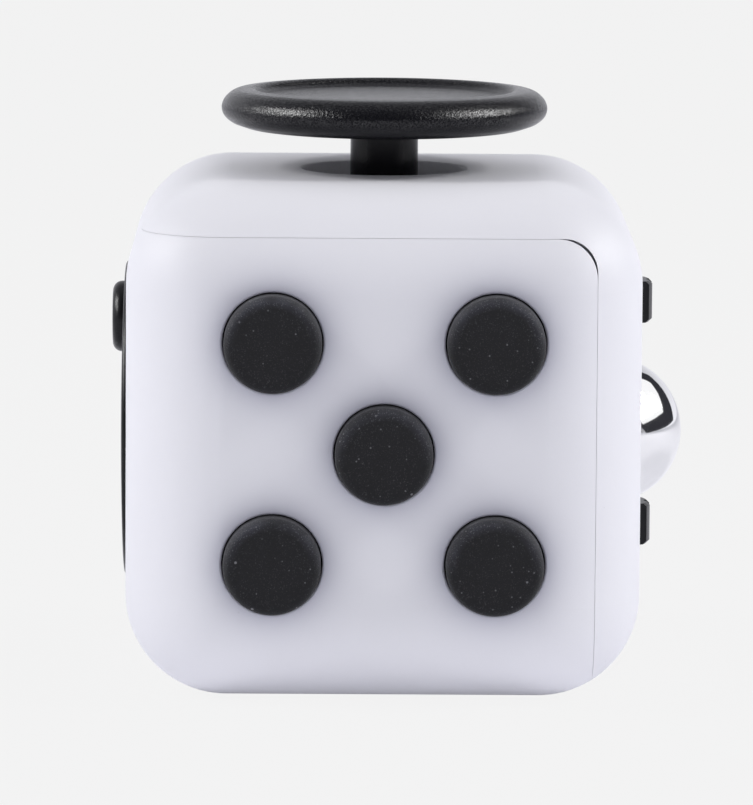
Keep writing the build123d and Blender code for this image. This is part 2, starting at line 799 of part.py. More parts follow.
ear_inner = (gear_pitch - cradle_ear_thick) / 2
cradle_ears = (
    (-end_high, cradle_end_thick),
    (-ear_inner - cradle_ear_thick, cradle_ear_thick),
    (ear_inner, cradle_ear_thick),
    (end_low, cradle_end_thick),
)
lug_reach = cradle_side + cradle_plate + cradle_lug_reach
cradle_room = rounded_block(wall + rest_gap)
lug_bars = []
for level in lug_levels:
    with BuildPart() as lug_bar:
        with BuildSketch(axle.offset(level - cradle_lug_half)):
            with Locations((lug_low, cradle_side)):
                Rectangle(
                    cradle_plate,
                    lug_reach - cradle_side,
                    align=(Align.MIN, Align.MIN),
                )
        extrude(amount=2 * cradle_lug_half)
    lug_bars.append(lug_bar.part & cradle_room)
with BuildPart() as gear_cradle:
    for low, thick in cradle_ears:
        with BuildSketch(axle.offset(low)):
            Circle(cradle_ear_radius)
            with Locations((cradle_back / 2, 0)):
                Rectangle(-cradle_back, 2 * cradle_ear_radius)
        extrude(amount=thick)
    with BuildSketch(axle.offset(-end_high)):
        with BuildLine():
            Polyline(
                (cradle_back, -cradle_ear_radius),
                (cradle_back - cradle_plate, -cradle_ear_radius),
                (cradle_back - cradle_plate, cradle_side + cradle_plate),
                (-cradle_lug_back, cradle_side + cradle_plate),
                (-cradle_lug_back, cradle_side),
                (cradle_back, cradle_side),
                close=True,
            )
        make_face()
    extrude(amount=2 * end_high)
    add(lug_bars)
    for level in lug_levels:
        hole = Plane(axle.origin + Vector(lug_low, lug_screw, level), z_dir=(1, 0, 0))
        with BuildSketch(hole):
            Circle(clear_radius)
        extrude(amount=cradle_plate, mode=Mode.SUBTRACT)
    with BuildSketch(axle.offset(-end_high)):
        Circle(gear_axle_radius + press_gap)
    extrude(amount=2 * end_high, mode=Mode.SUBTRACT)
save(gear_cradle.part, "gear_cradle")

nub_x = -gear_radius + click_nub_depth - click_nub_radius
click_leaf_half = slot_rise - rest_gap
with BuildPart() as gear_click_springs:
    for level in gear_levels.values():
        with BuildSketch(axle.offset(level - click_leaf_half)):
            with Locations((cradle_back, 0)):
                Rectangle(click_leaf_sheet, click_leaf_width, align=(Align.MIN, Align.CENTER))
        extrude(amount=2 * click_leaf_half)
        with BuildSketch(axle.offset(level - click_nub_height / 2)):
            with Locations((nub_x, 0)):
                Circle(click_nub_radius)
            with Locations((cradle_back, 0)):
                Rectangle(
                    nub_x - cradle_back,
                    2 * click_nub_radius,
                    align=(Align.MIN, Align.CENTER),
                )
        extrude(amount=click_nub_height)
save(gear_click_springs.part, "gear_click_springs")

cradle_reach = cradle_plate + cradle_bite - rest_gap
screws = [
    screw(Plane(axle.origin + Vector(lug_low, lug_screw, level), z_dir=(-1, 0, 0)), cradle_reach)
    for level in lug_levels
]
with BuildPart() as cradle_screws:
    add(screws)
save(cradle_screws.part, "cradle_screws")

# Rocker: drawn about its pivot and modelled leaning towards its upper end
rocker_face = rocker_pivot_depth + rocker_rise
rocker_tip = rocker_face + rocker_end_radius * math.tan(lean)
with BuildPart() as rocker_paddle:
    with BuildSketch(rocker_plane):
        with BuildLine():
            Polyline(
                (rocker_face, 0),
                (rocker_tip, rocker_end_radius),
                (rocker_under, rocker_end_radius),
                (rocker_under, -rocker_end_radius),
                (rocker_tip, -rocker_end_radius),
                close=True,
            )
        make_face()
        Circle(rocker_end_radius, mode=Mode.INTERSECT)
        Circle(rocker_hub_radius)
        Rectangle(rocker_under, 2 * rocker_hub_radius, align=(Align.MIN, Align.CENTER))
    extrude(amount=rocker_width / 2, both=True)
    with BuildSketch(rocker_plane):
        with Locations((-rocker_leg, 0)):
            Circle(rocker_leg_radius)
        Rectangle(rocker_leg, 2 * rocker_leg_radius, align=(Align.MAX, Align.CENTER))
    extrude(amount=rocker_leaf_width / 2, both=True)
    with BuildSketch(rocker_plane):
        Circle(rocker_pin_radius + running_gap)
    extrude(amount=rocker_width / 2, both=True, mode=Mode.SUBTRACT)
    fronts = rocker_paddle.faces().filter_by(GeomType.PLANE).sort_by(Axis.Y)[-2:]
    tops = fronts.edges().filter_by(GeomType.LINE).filter_by(Axis.X, reverse=True)
    fillet(tops, radius=rocker_edge_round)
save(rocker_paddle.part, "rocker_paddle")

with BuildPart() as rocker_pin:
    with BuildSketch(rocker_level):
        Circle(rocker_pin_radius)
    extrude(amount=rocker_outer - rest_gap, both=True)
save(rocker_pin.part, "rocker_pin")

floor_low = -rocker_floor - rocker_floor_thick
with BuildPart() as rocker_housing:
    with BuildSketch(back.offset(-wall - rocker_ear_thick)):
        with Locations(*rocker_ears):
            Circle(rocker_ear_radius)
        Rectangle(2 * rocker_ear_at, 2 * rocker_ear_radius)
    extrude(amount=rocker_ear_thick)
    with BuildSketch(rocker_level):
        with Locations((floor_low, 0)):
            Rectangle(
                rocker_inside - floor_low,
                2 * rocker_length,
                align=(Align.MIN, Align.CENTER),
            )
    extrude(amount=rocker_outer, both=True)
    with BuildSketch(rocker_level):
        Circle(rocker_sweep)
        with Locations((-rocker_floor, 0)):
            Rectangle(
                rocker_floor + rocker_inside,
                2 * rocker_sweep,
                align=(Align.MIN, Align.CENTER),
                mode=Mode.INTERSECT,
            )
    extrude(amount=rocker_room, both=True, mode=Mode.SUBTRACT)
    with BuildSketch(rocker_level):
        Circle(rocker_pin_radius + press_gap)
    extrude(amount=rocker_outer, both=True, mode=Mode.SUBTRACT)
    with BuildSketch(back.offset(-wall - rocker_ear_thick)):
        with Locations(*rocker_ears):
            Circle(clear_radius)
    extrude(amount=rocker_ear_thick, mode=Mode.SUBTRACT)
save(rocker_housing.part, "rocker_housing")

leaf_low = -rocker_floor
leaf_high = leaf_low + rocker_leaf_sheet
ridge_half = rocker_leaf_ridge_half
with BuildPart() as rocker_leaf:
    with BuildSketch(rocker_level):
        with BuildLine():
            Polyline(
                (leaf_low, -rocker_leaf_half),
                (leaf_high, -rocker_leaf_half),
                (leaf_high, -ridge_half),
                (leaf_high + rocker_leaf_ridge, 0),
                (leaf_high, ridge_half),
                (leaf_high, rocker_leaf_half),
                (leaf_low, rocker_leaf_half),
                (leaf_low, ridge_half),
                (leaf_low + rocker_leaf_ridge, 0),
                (leaf_low, -ridge_half),
                close=True,
            )
        make_face()
    extrude(amount=rocker_leaf_width / 2, both=True)
save(rocker_leaf.part, "rocker_leaf")

rocker_reach = rocker_ear_thick + rocker_bite - rest_gap
screws = [
    screw(facing_in(seat_on(back, across, up, -wall - rocker_ear_thick)), rocker_reach)
    for across, up in rocker_ears
]
with BuildPart() as rocker_screws:
    add(screws)
save(rocker_screws.part, "rocker_screws")
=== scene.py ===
"""Looks of the fidget cube: finishes of the moulded case, the rubber buttons, the
joystick disc, the spin dial, the chrome ball, the ridged wheels and the rocker,
and the plain studio they stand in."""

import json
import math

import bmesh
import bpy
from bpy.props import FloatProperty, FloatVectorProperty, IntProperty, PointerProperty
from mathutils import Matrix, Vector


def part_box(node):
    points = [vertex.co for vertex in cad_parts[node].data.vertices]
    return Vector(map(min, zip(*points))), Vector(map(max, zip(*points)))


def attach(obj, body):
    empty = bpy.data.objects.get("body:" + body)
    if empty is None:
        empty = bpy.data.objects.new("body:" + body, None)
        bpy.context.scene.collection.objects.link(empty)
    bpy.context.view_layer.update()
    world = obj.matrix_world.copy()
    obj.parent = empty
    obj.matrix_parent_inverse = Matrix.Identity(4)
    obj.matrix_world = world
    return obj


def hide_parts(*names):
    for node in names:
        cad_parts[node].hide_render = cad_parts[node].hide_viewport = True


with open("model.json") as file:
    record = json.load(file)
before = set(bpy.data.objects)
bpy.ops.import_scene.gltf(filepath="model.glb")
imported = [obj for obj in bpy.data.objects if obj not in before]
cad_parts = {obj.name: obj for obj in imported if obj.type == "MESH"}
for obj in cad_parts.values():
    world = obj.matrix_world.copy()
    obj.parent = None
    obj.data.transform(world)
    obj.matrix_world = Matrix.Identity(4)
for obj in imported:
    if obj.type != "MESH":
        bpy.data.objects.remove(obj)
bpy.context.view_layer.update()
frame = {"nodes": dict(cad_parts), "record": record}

bl_info = {
    "name": "Fidget Cube Looks",
    "version": (1, 0, 0),
    "blender": (4, 5, 0),
    "location": "3D View > Sidebar > Fidget Cube",
    "description": "Builds the visible pieces and finishes of a six-sided fidget cube",
    "category": "Object",
}

MM = 0.001
CASE_BODY = "case"
BUTTONS = ("upper_left", "upper_right", "centre", "lower_left", "lower_right")
WHEELS = ("upper", "middle", "lower")

# Sizes in millimetres that the looks share with the model
BUTTON_HOLE = 3.2
BUTTON_FLANGE = 0.69
BUTTON_FLANGE_FRONT = -2.05
BUTTON_FLANGE_BACK = -2.7
BUTTON_POST = 1.1
COLLAR = 2.2
DISC_THICK = 2.6
DIAL_BACK = -0.7
DIAL_HUB = 2.5
DIAL_SCREW = 0.8
DIAL_SCREW_DEPTH = 2.4
DIAL_BOSS = 2.31


def middle(node):
    """The middle of a node's box."""
    low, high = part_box(node)
    return (low + high) / 2


def case_box():
    """The box round both shells."""
    low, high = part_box("front_shell")
    low_two, high_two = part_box("rear_shell")
    return Vector(map(min, low, low_two)), Vector(map(max, high, high_two))


def add_node(tree, kind, settings, sockets):
    """Add a node: its settings first, then its sockets' values or links."""
    node = tree.nodes.new(kind)
    for name, value in settings.items():
        if name == "stops":
            set_stops(node.color_ramp, value)
        else:
            setattr(node, name, value)
    for name, value in sockets.items():
        if isinstance(value, Amount):
            value = value.socket
        if isinstance(value, bpy.types.NodeSocket):
            tree.links.new(value, node.inputs[name])
        else:
            node.inputs[name].default_value = value
    return node


def set_stops(ramp, stops):
    """Give a colour ramp its stops."""
    while len(ramp.elements) < len(stops):
        ramp.elements.new(0.5)
    for element, (at, colour) in zip(ramp.elements, stops):
        element.position = at
        element.color = colour


def empty_tree(owner):
    """The node tree of a material or a world, with nothing in it."""
    owner.use_nodes = True
    owner.node_tree.nodes.clear()
    return owner.node_tree


# Finishes


class Amount:
    """A number that varies over a surface, so its sums are Math nodes."""

    def __init__(self, finish, socket):
        self.finish = finish
        self.socket = socket

    def _sum(self, operation, first, second=None):
        values = [first] if second is None else [first, second]
        sockets = {i: v.socket if isinstance(v, Amount) else v for i, v in enumerate(values)}
        node = self.finish.node("ShaderNodeMath", {"operation": operation}, sockets)
        return Amount(self.finish, node.outputs[0])

    def __add__(self, other):
        return self._sum("ADD", self, other)

    __radd__ = __add__

    def __sub__(self, other):
        return self._sum("SUBTRACT", self, other)

    def __rsub__(self, other):
        return self._sum("SUBTRACT", other, self)

    def __mul__(self, other):
        return self._sum("MULTIPLY", self, other)

    __rmul__ = __mul__

    def __truediv__(self, other):
        return self._sum("DIVIDE", self, other)

    def __pow__(self, other):
        return self._sum("POWER", self, other)

    def __gt__(self, other):
        return self._sum("GREATER_THAN", self, other)

    def __lt__(self, other):
        return self._sum("LESS_THAN", self, other)

    def faded(self, reach):
        """How much is left of 1 after falling off over a reach."""
        return self._sum("EXPONENT", self / -reach)

    def least(self, other):
        """The smaller of two amounts."""
        return self._sum("MINIMUM", self, other)

    def clamped(self):
        """The same amount, kept between 0 and 1."""
        node = self.finish.node("ShaderNodeClamp", {}, {"Value": self.socket})
        return Amount(self.finish, node.outputs[0])


class Finish:
    """A material whose nodes are added one by one."""

    def __init__(self, name, **constants):
        self.material = bpy.data.materials.new(name)
        self.tree = empty_tree(self.material)
        self.shader = self.node("ShaderNodeBsdfPrincipled", {}, constants)
        self.out = self.node("ShaderNodeOutputMaterial", {}, {"Surface": self.shader.outputs[0]})
        self.place = self.node("ShaderNodeTexCoord", {}, {}).outputs["Object"]

    def node(self, kind, settings, sockets):
        """Add a node to the material."""
        return add_node(self.tree, kind, settings, sockets)

    def noise(self, size, detail=3.0, rough=0.5, place=None):
        """Soft noise whose blobs are about a size across, in metres."""
        sockets = {"Vector": place or self.place, "Scale": 1 / size}
        sockets |= {"Detail": detail, "Roughness": rough}
        node = self.node("ShaderNodeTexNoise", {"noise_dimensions": "3D"}, sockets)
        return Amount(self, node.outputs[0])

    def height(self, axis, start, span):
        """How far along an axis the surface is, from 0 to 1 over a span."""
        split = self.node("ShaderNodeSeparateXYZ", {}, {"Vector": self.place})
        return ((Amount(self, split.outputs[axis]) - start) / span).clamped()

    def cells(self, size, feature="F1", output="Distance"):
        """The distance to the nearest of scattered points, a size apart."""
        sockets = {"Vector": self.place, "Scale": 1 / size}
        node = self.node("ShaderNodeTexVoronoi", {"feature": feature}, sockets)
        return node.outputs[output]

    def scattered(self, size, inner, outer, share):
        """Round specks on a share of scattered points, fading from inner to outer."""
        specks = self.ramp(self.cells(size), (inner, 1), (outer, 0))
        points = {"Vector": self.cells(size, output="Position")}
        pick = self.node("ShaderNodeTexWhiteNoise", {}, points)
        return specks * (Amount(self, pick.outputs[0]) > 1 - share)

    def ramp(self, amount, *stops):
        """An amount sent through a ramp of (position, level) stops."""
        stops = [(at, (level, level, level, 1)) for at, level in stops]
        node = self.node("ShaderNodeValToRGB", {"stops": stops}, {"Fac": amount})
        return Amount(self, node.outputs[0])

    def mix(self, amount, first, second):
        """A colour between two colours or colour sockets."""
        sockets = {0: amount, 6: first, 7: second}
        return self.node("ShaderNodeMix", {"data_type": "RGBA"}, sockets).outputs[2]

    def spread(self, **sockets):
        """Link varying colours and amounts to the shader."""
        for name, value in sockets.items():
            value = value.socket if isinstance(value, Amount) else value
            self.tree.links.new(value, self.shader.inputs[name.replace("_", " ")])

    def apart(self, spot):
        """How far the surface is from a spot, seen from the front."""
        upright = {0: self.place, 1: (1, 0, 1)}
        flat = self.node("ShaderNodeVectorMath", {"operation": "MULTIPLY"}, upright)
        there = {0: flat.outputs[0], 1: (spot.x, 0, spot.z)}
        reach = self.node("ShaderNodeVectorMath", {"operation": "DISTANCE"}, there)
        return Amount(self, reach.outputs["Value"])

    def bump(self, height, depth, strength=1.0):
        """Raise the surface by a height pattern, depth metres high."""
        sockets = {"Strength": strength, "Distance": depth, "Height": height}
        node = self.node("ShaderNodeBump", {}, sockets)
        self.tree.links.new(node.outputs[0], self.shader.inputs["Normal"])


def shade_cool(colour, factor):
    """A colour made darker and cooler, used for painted shade."""
    red, green, blue = colour[:3]
    return (red * factor, green * factor * 1.1, min(1.0, blue * factor * 2.6), 1.0)


def shade(colour, factor):
    """A colour with alpha, made darker or lighter."""
    return tuple(min(1.0, c * factor) for c in colour[:3]) + (1.0,)


def moulded_white(looks):
    """Satin white plastic: flow marks, fine spark texture, dust, and painted shade beside the
    button holes.
    """
    finish = Finish("case_white", **{"IOR": 1.46, "Specular IOR Level": 0.25})
    flow = finish.noise(9 * MM, 2.0)
    spark = finish.noise(0.16 * MM, 3.0, 0.6)
    dust = finish.ramp(finish.cells(1.9 * MM), (0.02, 1), (0.045, 0))
    rare = finish.noise(3.1 * MM, 1.0) > 0.62
    tone = finish.mix(flow, shade(looks.white, 0.985), shade(looks.white, 1.015))
    light = 1
    # Painted shade: darken and cool the case round each button hole, standing in for the shade
    # the proud buttons cast.
    for name in BUTTONS:
        spot = middle(f"button_{name}")
        beside = (finish.apart(spot) - BUTTON_HOLE * MM).faded(looks.painted_shade_reach * MM)
        light = light * (1 - beside * looks.painted_button_shade)
    front = finish.ramp(finish.height("Y", case_box()[0].y, 0.02), (0.0, 1), (0.3, 0))
    shadow = ((1 - light) * front).clamped()
    # Mix the cool painted shade colour in near the front face.
    tone = finish.mix(shadow, tone, shade_cool(looks.white, 0.12))
    speck = (dust * rare * 0.25).clamped()
    colour = finish.mix(speck, tone, shade(looks.white, 0.55))
    rough = flow * 0.08 + spark * 0.06 + (looks.white_roughness - 0.07)
    finish.spread(Base_Color=colour, Roughness=rough.clamped())
    finish.bump(spark, looks.grain * MM, 0.35)
    return finish.material


def dusty_rubber(looks):
    """Matt black rubber: dull grain, white dust specks, fine hairs and a painted highlight on
    the top of each rim.
    """
    soft = {"Specular IOR Level": 0.3, "Sheen Weight": 0.12, "Sheen Roughness": 0.5}
    finish = Finish("button_rubber", IOR=1.45, **soft)
    grain = finish.noise(0.12 * MM, 4.0, 0.65)
    cloud = finish.noise(1.4 * MM, 3.0)
    small = finish.scattered(0.42 * MM, 0.07, 0.17, 0.3)
    big = finish.scattered(1.35 * MM, 0.045, 0.085, 0.4)
    fuzz = finish.noise(0.09 * MM, 2.0, 0.7) > 0.62
    # Painted highlight: a lighter band round the upper part of each button's rim, where light
    # grazes it.
    rim = 0
    for name in BUTTONS:
        spot = middle(f"button_{name}")
        reach = finish.apart(spot) / (5 * MM)
        ring = finish.ramp(reach, (0.46, 0), (0.56, 1), (0.62, 0.7), (0.64, 0))
        rim = ring * finish.height("Z", spot.z - 0.6 * MM, 2.6 * MM) + rim
    upper = rim * (finish.noise(1.7 * MM, 2.0) * 1.6 - 0.3).clamped()
    # The hairs are lighter along the top rim: dust, with a painted highlight there.
    dust = small * (cloud * 0.8) + big * 0.8 + fuzz * (cloud * 0.2 + upper * 0.4)
    dust = dust.clamped()
    tone = finish.mix(cloud, shade(looks.rubber, 0.75), shade(looks.rubber, 1.3))
    # Paint the highlight onto the top rim.
    tone = finish.mix(upper, tone, shade(looks.rubber, 7))
    colour = finish.mix(dust * 0.5, tone, (0.42, 0.42, 0.45, 1))
    rough = grain * 0.2 + looks.rubber_roughness - 0.1
    finish.spread(Base_Color=colour, Roughness=rough.clamped())
    finish.bump(grain + dust * 0.6, 0.03 * MM, 0.5)
    return finish.material


def grained_black(name, looks, coarse, depth, rough, low=None):
    """Black moulded plastic with a grain that breaks up its shine.

    Where a height is given, the grain is stronger and glints above it.
    """
    finish = Finish(name, **{"IOR": 1.5, "Specular IOR Level": 0.24})
    grain = finish.noise(coarse * MM, 4.0, 0.62)
    pits = Amount(finish, finish.cells(coarse * 1.4 * MM))
    wear = finish.noise(4 * MM, 3.0)
    tone = finish.mix(wear, shade(looks.black, 0.8), shade(looks.black, 1.25))
    dust = finish.ramp(finish.cells(1.1 * MM), (0.03, 1), (0.06, 0))
    dust = dust * (finish.noise(2.3 * MM) > 0.6)
    colour = finish.mix((dust * 0.5).clamped(), tone, (0.4, 0.4, 0.42, 1))
    finish.spread(Base_Color=colour)
    finish.spread(Roughness=(grain * 0.16 + wear * 0.08 + rough - 0.12).clamped())
    relief = grain * 0.6 + pits * 0.4
    if low is not None:
        upper = finish.height("Z", low, 0.8 * MM)
        relief = relief * (upper * 0.75 + 0.25)
        glint = finish.ramp(finish.noise(0.11 * MM, 2.0, 0.7), (0.44, 0.08), (0.60, 1))
        finish.spread(Specular_IOR_Level=upper * (glint * 0.4 - 0.1) + 0.2)
    finish.bump(relief, depth * MM, 0.8)
    return finish.material


def polished_chrome(looks):
    """Bright chrome with a haze of fine handling marks."""
    finish = Finish("ball_chrome", **{"Metallic": 1.0})
    smear = finish.noise(2.2 * MM, 4.0, 0.6)
    hair = finish.noise(0.25 * MM, 2.0)
    tone = finish.mix(smear, shade(looks.chrome, 0.95), shade(looks.chrome, 1.03))
    finish.spread(Base_Color=tone)
    finish.spread(Roughness=(smear * 0.07 + hair * 0.02 + 0.025).clamped())
    finish.bump(hair, 0.004 * MM, 0.25)
    return finish.material


def moulded_grey():
    """The dull grey plastic of the inner modules."""
    finish = Finish("module_grey", **{"IOR": 1.46})
    flow = finish.noise(3 * MM, 3.0)
    grain = finish.noise(0.2 * MM, 3.0)
    finish.spread(Base_Color=finish.mix(flow, (0.50, 0.51, 0.53, 1), (0.58, 0.59, 0.61, 1)))
    finish.spread(Roughness=(grain * 0.15 + 0.45).clamped())
    finish.bump(grain, 0.02 * MM, 0.4)
    return finish.material


def soft_silicone():
    """Milky silicone of the silent domes."""
    finish = Finish("silicone", **{"IOR": 1.41, "Subsurface Weight": 0.2})
    cloud = finish.noise(0.8 * MM, 3.0)
    finish.spread(Base_Color=finish.mix(cloud, (0.56, 0.58, 0.6, 1), (0.66, 0.68, 0.7, 1)))
    finish.spread(Roughness=(cloud * 0.2 + 0.45).clamped())
    return finish.material


def drawn_steel(name, colour, rough):
    """Bright steel with drawing marks and slight tarnish."""
    finish = Finish(name, **{"Metallic": 1.0})
    stretch = {"Vector": finish.place, "Scale": (1, 1, 9)}
    drawn = finish.node("ShaderNodeMapping", {"vector_type": "POINT"}, stretch).outputs[0]
    lines = finish.noise(0.3 * MM, 3.0, 0.5, drawn)
    tarnish = finish.noise(1.6 * MM, 2.0)
    finish.spread(Base_Color=finish.mix(tarnish, shade(colour, 0.85), shade(colour, 1.1)))
    finish.spread(Roughness=(lines * 0.2 + rough - 0.1).clamped())
    finish.bump(lines, 0.01 * MM, 0.3)
    return finish.material


def give_nodes(names, material):
    """Put one material on nodes of the frame in place of their own."""
    for name in names:
        data = frame["nodes"][name].data
        data.materials.clear()
        data.materials.append(material)


# Modelling


def turn(outline, steps):
    """Spin an outline of (radius, height, rounding) corners about the upright axis."""
    bm = bmesh.new()
    corners = [bm.verts.new((radius * MM, 0, height * MM)) for radius, height, _ in outline]
    for first, second in zip(corners, corners[1:]):
        bm.edges.new((first, second))
    for corner, (_, _, rounding) in zip(corners, outline):
        if rounding:
            bmesh.ops.bevel(
                bm,
                geom=[corner],
                offset=rounding * MM,
                offset_type="OFFSET",
                segments=7,
                profile=0.5,
                affect="VERTICES",
                material=-1,
            )
    bmesh.ops.spin(
        bm,
        geom=bm.verts[:] + bm.edges[:],
        cent=(0, 0, 0),
        axis=(0, 0, 1),
        angle=2 * math.pi,
        steps=steps,
        use_merge=True,
    )
    bmesh.ops.remove_doubles(bm, verts=bm.verts[:], dist=1e-7)
    bmesh.ops.recalc_face_normals(bm, faces=bm.faces[:])
    return bm


def seat(origin, outward):
    """The matrix that stands an upright shape on a spot, facing outward."""
    turned = Vector(outward).to_track_quat("Z", "Y").to_matrix().to_4x4()
    return Matrix.Translation(origin) @ turned


def piece(bm, name, place, material, slot, body, *nodes):
    """Turn a bmesh into a finished piece in place of the nodes it stands for."""
    bmesh.ops.transform(bm, matrix=place, verts=bm.verts[:])
    mesh = bpy.data.meshes.new(name)
    bm.to_mesh(mesh)
    bm.free()
    mesh.materials.append(material)
    mesh.shade_smooth()
    obj = bpy.data.objects.new(name, mesh)
    bpy.context.scene.collection.objects.link(obj)
    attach(obj, body)
    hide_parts(*nodes)
    return obj


def crisp(obj, angle=35):
    """Smooth shading up to an angle, sharp past it."""
    for poly in obj.data.polygons:
        poly.use_smooth = True
    obj.data.set_sharp_from_angle(angle=math.radians(angle))
    return obj


# Settings


class FidgetCubeCase(bpy.types.PropertyGroup):
    """Colours and finish of the case and of its plastics"""

    white: FloatVectorProperty(
        name="Case colour",
        description="Base colour of the white case",
        subtype="COLOR",
        size=3,
        min=0,
        max=1,
        default=(0.865, 0.865, 0.905),
    )
    white_roughness: FloatProperty(
        name="Case roughness",
        description="How dull the case is",
        subtype="FACTOR",
        min=0,
        max=1,
        default=0.5,
    )
    # Strength of the painted shade round the button holes.
    painted_button_shade: FloatProperty(
        name="Painted shade",
        description="How much darker the case is right beside a button hole",
        subtype="FACTOR",
        min=0,
        max=1,
        default=0.38,
    )
    # Reach of the painted shade round each button.
    painted_shade_reach: FloatProperty(
        name="Painted shade reach",
        description="How far the darkening round a button reaches, in millimetres",
        min=0.1,
        max=5,
        default=1.05,
    )
    grain: FloatProperty(
        name="Case grain",
        description="Depth of the case's mould texture in millimetres",
        min=0,
        max=0.2,
        default=0.01,
    )
    black: FloatVectorProperty(
        name="Plastic colour",
        description="Base colour of the black moulded controls",
        subtype="COLOR",
        size=3,
        min=0,
        max=1,
        default=(0.0052, 0.0052, 0.0072),
    )
    rubber: FloatVectorProperty(
        name="Rubber colour",
        description="Base colour of the rubber buttons",
        subtype="COLOR",
        size=3,
        min=0,
        max=1,
        default=(0.0062, 0.0064, 0.0085),
    )
    rubber_roughness: FloatProperty(
        name="Rubber roughness",
        description="How dull the buttons are",
        subtype="FACTOR",
        min=0,
        max=1,
        default=0.72,
    )
    chrome: FloatVectorProperty(
        name="Chrome colour",
        description="Reflection colour of the roller ball",
        subtype="COLOR",
        size=3,
        min=0,
        max=1,
        default=(0.86, 0.86, 0.87),
    )


class FidgetCubeShapes(bpy.types.PropertyGroup):
    """Small sizes of the turned pieces"""

    button_edge: FloatProperty(
        name="Button edge",
        description="Rounding of a button's rim in millimetres",
        min=0.05,
        max=1,
        default=0.5,
    )
    button_crown: FloatProperty(
        name="Button crown",
        description="How far a button's middle stands above its rim, in millimetres",
        min=0,
        max=0.3,
        default=0.06,
    )
    disc_dish: FloatProperty(
        name="Disc dish",
        description="Depth of the thumb dish in the joystick's disc, in millimetres",
        min=0.1,
        max=1.2,
        default=0.5,
    )
    dial_edge: FloatProperty(
        name="Dial edge",
        description="How far the dial's edge stands out of the case, in millimetres",
        min=0,
        max=1,
        default=0.28,
    )
    dial_crown: FloatProperty(
        name="Dial crown",
        description="How far the dial's middle stands above its edge, in millimetres",
        min=0,
        max=0.5,
        default=0.23,
    )
    dial_boss_at: FloatProperty(
        name="Dial boss",
        description="Distance of the finger boss from the dial's middle, in millimetres",
        min=0,
        max=8,
        default=6.67,
    )
    steps: IntProperty(
        name="Steps",
        description="Facets round a turned piece",
        min=24,
        max=256,
        default=144,
    )


class FidgetCubeStage(bpy.types.PropertyGroup):
    """Light, floor and camera of the studio"""

    backdrop: FloatProperty(
        name="Backdrop level",
        description="Brightness of the floor and the backdrop",
        min=0,
        max=2,
        default=0.9,
    )
    room: FloatProperty(
        name="Room light",
        description="Strength of the soft light from the sides and above",
        min=0,
        max=3,
        default=0.62,
    )
    back_room: FloatProperty(
        name="Back light",
        description="Extra strength of the soft light from behind the case",
        min=0,
        max=3,
        default=0.5,
    )
    overhead: FloatProperty(
        name="Overhead share",
        description="Share of the room light that comes from straight above",
        subtype="FACTOR",
        min=0,
        max=1,
        default=0.36,
    )
    front_room: FloatProperty(
        name="Front light",
        description="Strength of the soft light from the camera's side",
        min=0,
        max=3,
        default=0.41,
    )
    shine_room: FloatProperty(
        name="Front shine",
        description="Share of the front light that shows in shiny surfaces",
        subtype="FACTOR",
        min=0,
        max=1,
        default=0.3,
    )
    soft_box: FloatProperty(
        name="Soft boxes",
        description="Brightness of the two soft boxes that show in shiny surfaces",
        min=0,
        max=60,
        default=13,
    )
    side_light: FloatProperty(
        name="Side lights",
        description="Power of the light panels at the left and right, in watts",
        unit="POWER",
        min=0,
        max=50,
        default=0.36,
    )
    top_light: FloatProperty(
        name="Top light",
        description="Power of the overhead light panel, in watts",
        unit="POWER",
        min=0,
        max=50,
        default=0.03,
    )
    reflector: FloatProperty(
        name="Reflector level",
        description="Brightness of the white reflector that shows in the chrome",
        min=0,
        max=5,
        default=1.1,
    )
    bounce: FloatProperty(
        name="Floor bounce",
        description="Share of its light that the floor throws back onto the pieces",
        subtype="FACTOR",
        min=0,
        max=0.96,
        default=0.92,
    )
    floor_light: FloatProperty(
        name="Floor light",
        description="Light that the floor adds of its own, seen from below the case's rounding",
        min=0,
        max=1,
        default=0.12,
    )
    lens: FloatProperty(
        name="Lens",
        description="Focal length of the camera in millimetres",
        min=20,
        max=500,
        default=316.9,
    )


# Pieces


class FIDGETCUBE_OT_case(bpy.types.Operator):
    """Finish the two moulded shells"""

    bl_idname = "fidgetcube.case"
    bl_label = "Case shells"

    def execute(self, context):
        looks = context.scene.fidgetcube_case
        give_nodes(("front_shell", "rear_shell"), moulded_white(looks))
        return {"FINISHED"}


class FIDGETCUBE_OT_buttons(bpy.types.Operator):
    """Turn the five rubber buttons"""

    bl_idname = "fidgetcube.buttons"
    bl_label = "Push buttons"

    def execute(self, context):
        looks = context.scene.fidgetcube_case
        shapes = context.scene.fidgetcube_shapes
        rubber = dusty_rubber(looks)
        for name in BUTTONS:
            node = f"button_{name}"
            low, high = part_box(node)
            centre = (low + high) / 2
            face = case_box()[0].y
            proud = (face - low.y) / MM
            deep = (face - high.y) / MM
            wide = (high.x - low.x) / MM / 2
            radius = wide - BUTTON_FLANGE
            outline = (
                (0, proud, 0),
                (radius * 0.5, proud - shapes.button_crown * 0.25, 0),
                (radius, proud - shapes.button_crown, shapes.button_edge),
                (radius, BUTTON_FLANGE_FRONT, 0),
                (wide, BUTTON_FLANGE_FRONT, 0.1),
                (wide, BUTTON_FLANGE_BACK, 0.1),
                (BUTTON_POST, BUTTON_FLANGE_BACK, 0),
                (BUTTON_POST, deep, 0.15),
                (0, deep, 0),
            )
            bm = turn(outline, shapes.steps)
            place = seat((centre.x, face, centre.z), (0, -1, 0))
            crisp(piece(bm, f"cap_{name}", place, rubber, "button_rubber", node, node))
        return {"FINISHED"}


